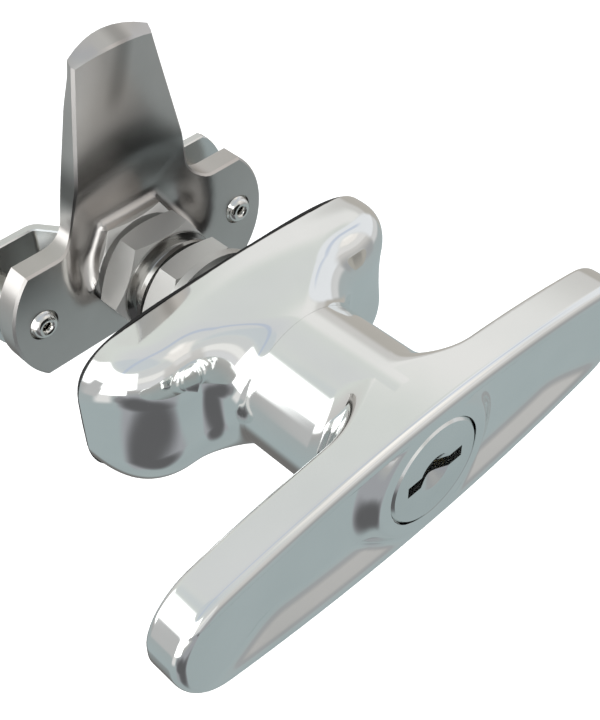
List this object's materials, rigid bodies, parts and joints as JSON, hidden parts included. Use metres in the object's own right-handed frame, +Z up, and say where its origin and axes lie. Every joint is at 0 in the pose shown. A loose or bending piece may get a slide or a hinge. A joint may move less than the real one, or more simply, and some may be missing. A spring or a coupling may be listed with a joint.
{
  "type": "t-handle cam latch",
  "caption": "Locking T-handle latch: a chromed T-bar on a flanged bell escutcheon turns a spindle with a cast cam tongue and clevis ears that pull rods behind a panel.",
  "frame": {"origin": "on the spindle axis, at the gasket's rear face, where the panel is", "axes": "+X along the T-bar, +Y to the rear along the spindle towards the cam, +Z up along the tongue in the closed position"},
  "size_m": [0.111, 0.093, 0.0669],
  "materials": {
    "chrome": "polished chrome plate on a die casting",
    "lock_chrome": "fine satin chrome",
    "cast_satin": "satin cast metal",
    "zinc_steel": "zinc-plated, satin",
    "sheet_steel": "zinc-plated sheet",
    "polished_steel": "polished",
    "dark_steel": "oiled spring steel",
    "brass": "plain",
    "rubber": "matt black"
  },
  "bodies": {
    "housing": {"escutcheon": "chrome", "gasket": "rubber", "mount_washer": "zinc_steel", "mount_nut": "zinc_steel", "spindle_bush": "brass", "stop_pin": "zinc_steel"},
    "handle": {"t_handle": "chrome", "stem_insert": "zinc_steel", "spindle": "zinc_steel", "cross_pin": "zinc_steel", "o_ring": "rubber", "thrust_washer": "zinc_steel", "flared_collar": "polished_steel", "jam_nut": "zinc_steel", "lock_washer": "dark_steel", "cam": "cast_satin", "rod_bracket": "sheet_steel", "rod_pins": "polished_steel", "end_washer": "zinc_steel", "end_nut": "zinc_steel", "lock_shell": "brass"},
    "plug": {"lock_plug": "lock_chrome", "wafers": "brass", "tail_cam": "zinc_steel", "tail_clip": "dark_steel"},
    "bolt": {"lock_pin": "zinc_steel"}
  },
  "joints": [
    {"name": "handle_turn", "type": "hinge", "parent": "housing", "child": "handle", "pos_m": [0, 0, 0], "axis": [0, 1, 0], "range_deg": [0, 90]},
    {"name": "key_turn", "type": "hinge", "parent": "handle", "child": "plug", "pos_m": [0, -0.05, 0], "axis": [0, 1, 0], "range_deg": [0, 90]},
    {"name": "lock_pin_slide", "type": "slide", "parent": "handle", "child": "bolt", "axis": [0, 1, 0], "range_m": [0, 0.004]}
  ],
  "couplings": [
    {"joint": "lock_pin_slide", "follows": "key_turn", "m_per_rad": 0.002546}
  ]
}
